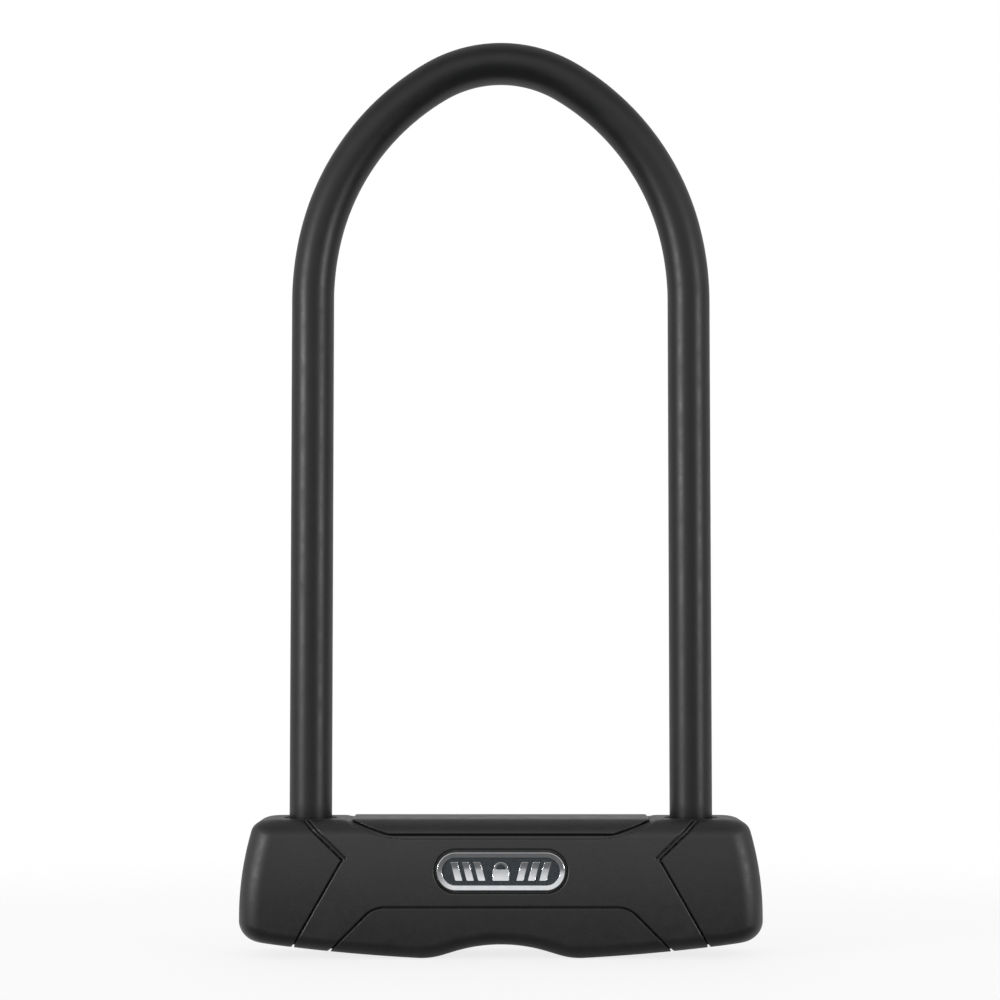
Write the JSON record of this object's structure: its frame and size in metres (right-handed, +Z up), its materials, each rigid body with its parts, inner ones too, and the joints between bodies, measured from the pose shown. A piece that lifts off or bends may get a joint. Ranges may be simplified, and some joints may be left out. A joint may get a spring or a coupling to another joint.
{
  "type": "bicycle U-lock",
  "caption": "Coated steel U-shackle that bolts at both feet into a moulded crossbar with a keyed cylinder, sliding keyhole cover and front badge.",
  "frame": {"origin": "under the middle of the crossbar, on the surface that the lock stands on", "axes": "+X along the crossbar, +Y to its back (the badge faces -Y), +Z up along the shackle's legs"},
  "size_m": [0.1652, 0.036, 0.2941],
  "materials": {
    "cover_plastic": "fine moulded texture, dark grey",
    "cap_plastic": "fine moulded texture, dark grey",
    "strip_plastic": "fine moulded texture, dark grey",
    "grip_rubber": "soft, fine texture, near black",
    "badge_chrome": "polished",
    "badge_black": "smooth, blue-black",
    "sleeve_steel": "zinc plated",
    "case_alloy": "as die cast",
    "fastener_steel": "satin",
    "seal_rubber": "matt black",
    "hardened_steel": "satin, slightly oiled",
    "coating": "soft black vinyl skin with a faint grain",
    "cylinder_brass": "turned",
    "disc_brass": "stamped",
    "track_steel": "brushed stainless",
    "shutter_plastic": "smooth black"
  },
  "bodies": {
    "crossbar": {"centre_cover": "cover_plastic", "left_end_cap": "cap_plastic", "right_end_cap": "cap_plastic", "top_strip": "strip_plastic", "bottom_grip": "grip_rubber", "badge_bezel": "badge_chrome", "badge_plate": "badge_black", "badge_emblem": "badge_chrome", "steel_sleeve": "sleeve_steel", "left_end_plug": "sleeve_steel", "right_end_plug": "sleeve_steel", "case_front": "case_alloy", "case_back": "case_alloy", "case_screws": "fastener_steel", "case_dowels": "fastener_steel", "cylinder_housing": "cylinder_brass", "cylinder_pin": "fastener_steel", "shutter_track": "track_steel", "left_shackle_seal": "seal_rubber", "right_shackle_seal": "seal_rubber", "left_leg_buffer": "seal_rubber", "right_leg_buffer": "seal_rubber"},
    "shackle": {"shackle_rod": "hardened_steel", "shackle_coating": "coating"},
    "plug": {"cylinder_plug": "cylinder_brass", "guard_plate": "hardened_steel", "disc_spacers": "cylinder_brass", "sidebar": "hardened_steel", "drive_cam": "hardened_steel", "plug_circlip": "fastener_steel", "detainer_disc_1": "disc_brass", "detainer_disc_2": "disc_brass", "detainer_disc_3": "disc_brass", "detainer_disc_4": "disc_brass", "detainer_disc_5": "disc_brass", "detainer_disc_6": "disc_brass", "detainer_disc_7": "disc_brass", "detainer_disc_8": "disc_brass"},
    "left_bolt": {"left_bolt": "hardened_steel", "left_drive_pin": "fastener_steel"},
    "right_bolt": {"right_bolt": "hardened_steel", "right_drive_pin": "fastener_steel"},
    "shutter": {"keyhole_shutter": "shutter_plastic"}
  },
  "joints": [
    {"name": "shackle_lift", "type": "slide", "parent": "crossbar", "child": "shackle", "axis": [0, 0, 1], "range_m": [0, 0.06]},
    {"name": "key_turn", "type": "hinge", "parent": "crossbar", "child": "plug", "pos_m": [0, 0, 0.0278], "axis": [0, 0, 1], "range_deg": [0, 90]},
    {"name": "left_bolt_slide", "type": "slide", "parent": "crossbar", "child": "left_bolt", "axis": [-1, 0, 0], "range_m": [0, 0.0046]},
    {"name": "right_bolt_slide", "type": "slide", "parent": "crossbar", "child": "right_bolt", "axis": [1, 0, 0], "range_m": [0, 0.0046]},
    {"name": "shutter_slide", "type": "slide", "parent": "crossbar", "child": "shutter", "axis": [1, 0, 0], "range_m": [0, 0.017]}
  ],
  "couplings": [
    {"joint": "left_bolt_slide", "follows": "key_turn", "m_per_rad": 0.0029284},
    {"joint": "right_bolt_slide", "follows": "key_turn", "m_per_rad": 0.0029284}
  ]
}
